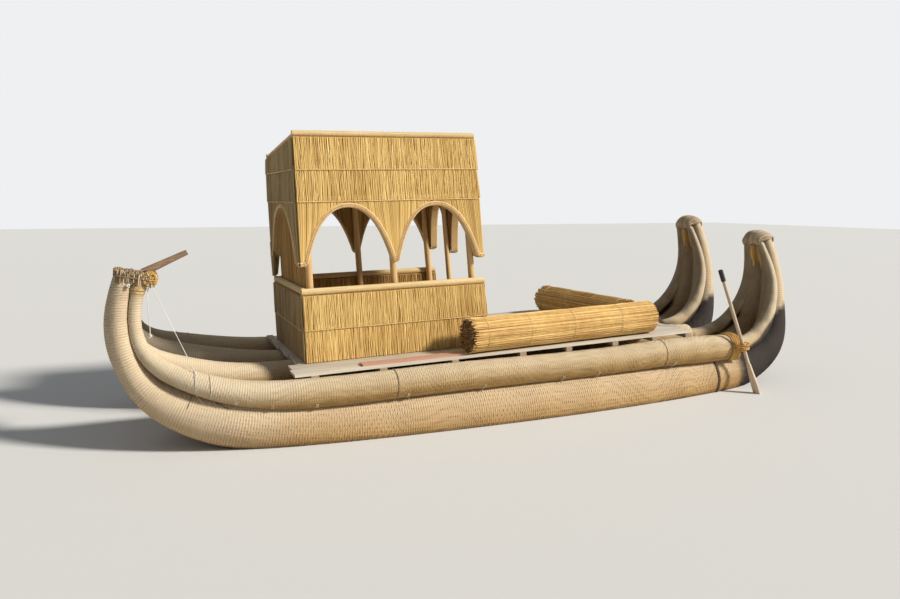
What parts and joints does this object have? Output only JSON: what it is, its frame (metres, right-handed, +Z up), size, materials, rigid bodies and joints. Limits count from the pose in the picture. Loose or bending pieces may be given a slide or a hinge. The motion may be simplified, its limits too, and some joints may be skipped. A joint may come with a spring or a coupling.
{
  "type": "reed boat",
  "caption": "Twin-hulled boat of bound reed bundles with upswept horns, a plank deck, reed benches, a two-deck thatched cabin with arches, and a steering oar.",
  "frame": {"origin": "in the waterline plane, on the centreline between the hulls, at mid-length", "axes": "+X towards the bow, +Y to port, +Z up"},
  "size_m": [8.2747, 3.1688, 3.678],
  "materials": {
    "hull_reed": "matte dry reed",
    "gunwale_reed": "matte dry reed",
    "cap_binding": "matte",
    "thatch": "matte dry reed",
    "rolled_reed": "matte dry reed",
    "bench_reed": "matte dry reed",
    "deck_timber": "weathered",
    "red_timber": "weathered",
    "beam_timber": "weathered",
    "peeled_pole": "satin",
    "log_wood": "weathered",
    "rope_fibre": "matte",
    "oar_wood": "weathered",
    "grip_wrap": "matte"
  },
  "bodies": {
    "root": {"bow_log": "log_wood", "bow_rope": "rope_fibre", "bow_screen": "thatch", "cross_beams": "beam_timber", "cross_bench_roll": "bench_reed", "deck_planks": "deck_timber", "entry_post": "peeled_pole", "floor_joists": "beam_timber", "oar_lashing": "rope_fibre", "parapet_bow": "thatch", "parapet_port": "thatch", "parapet_starboard": "thatch", "port_bow_cap": "cap_binding", "port_inner_bundle": "hull_reed", "port_inner_gunwale": "gunwale_reed", "port_inner_ridge": "gunwale_reed", "port_outer_bundle": "hull_reed", "port_outer_gunwale": "gunwale_reed", "port_outer_ridge": "gunwale_reed", "port_stern_cap": "cap_binding", "posts_port": "peeled_pole", "posts_starboard": "peeled_pole", "rail_bow": "rolled_reed", "rail_port": "rolled_reed", "rail_starboard": "rolled_reed", "side_bench_roll": "bench_reed", "side_board": "red_timber", "starboard_bow_cap": "cap_binding", "starboard_inner_bundle": "hull_reed", "starboard_inner_gunwale": "gunwale_reed", "starboard_inner_ridge": "gunwale_reed", "starboard_outer_bundle": "hull_reed", "starboard_outer_gunwale": "gunwale_reed", "starboard_outer_ridge": "gunwale_reed", "starboard_stern_cap": "cap_binding", "top_roll_port": "rolled_reed", "top_roll_starboard": "rolled_reed", "upper_floor": "beam_timber", "upper_wall_bow": "thatch", "upper_wall_port": "thatch", "upper_wall_starboard": "thatch", "upper_wall_stern": "thatch"},
    "oar": {"oar_shaft": "oar_wood", "oar_blade": "oar_wood", "oar_grip": "grip_wrap", "oar_collar": "rope_fibre"}
  },
  "joints": [
    {"name": "oar_sweep", "type": "hinge", "parent": "root", "child": "oar", "pos_m": [-2.88846, 1.38446, 0.56], "axis": [0, 1, 0], "range_deg": [-40, 30]}
  ]
}
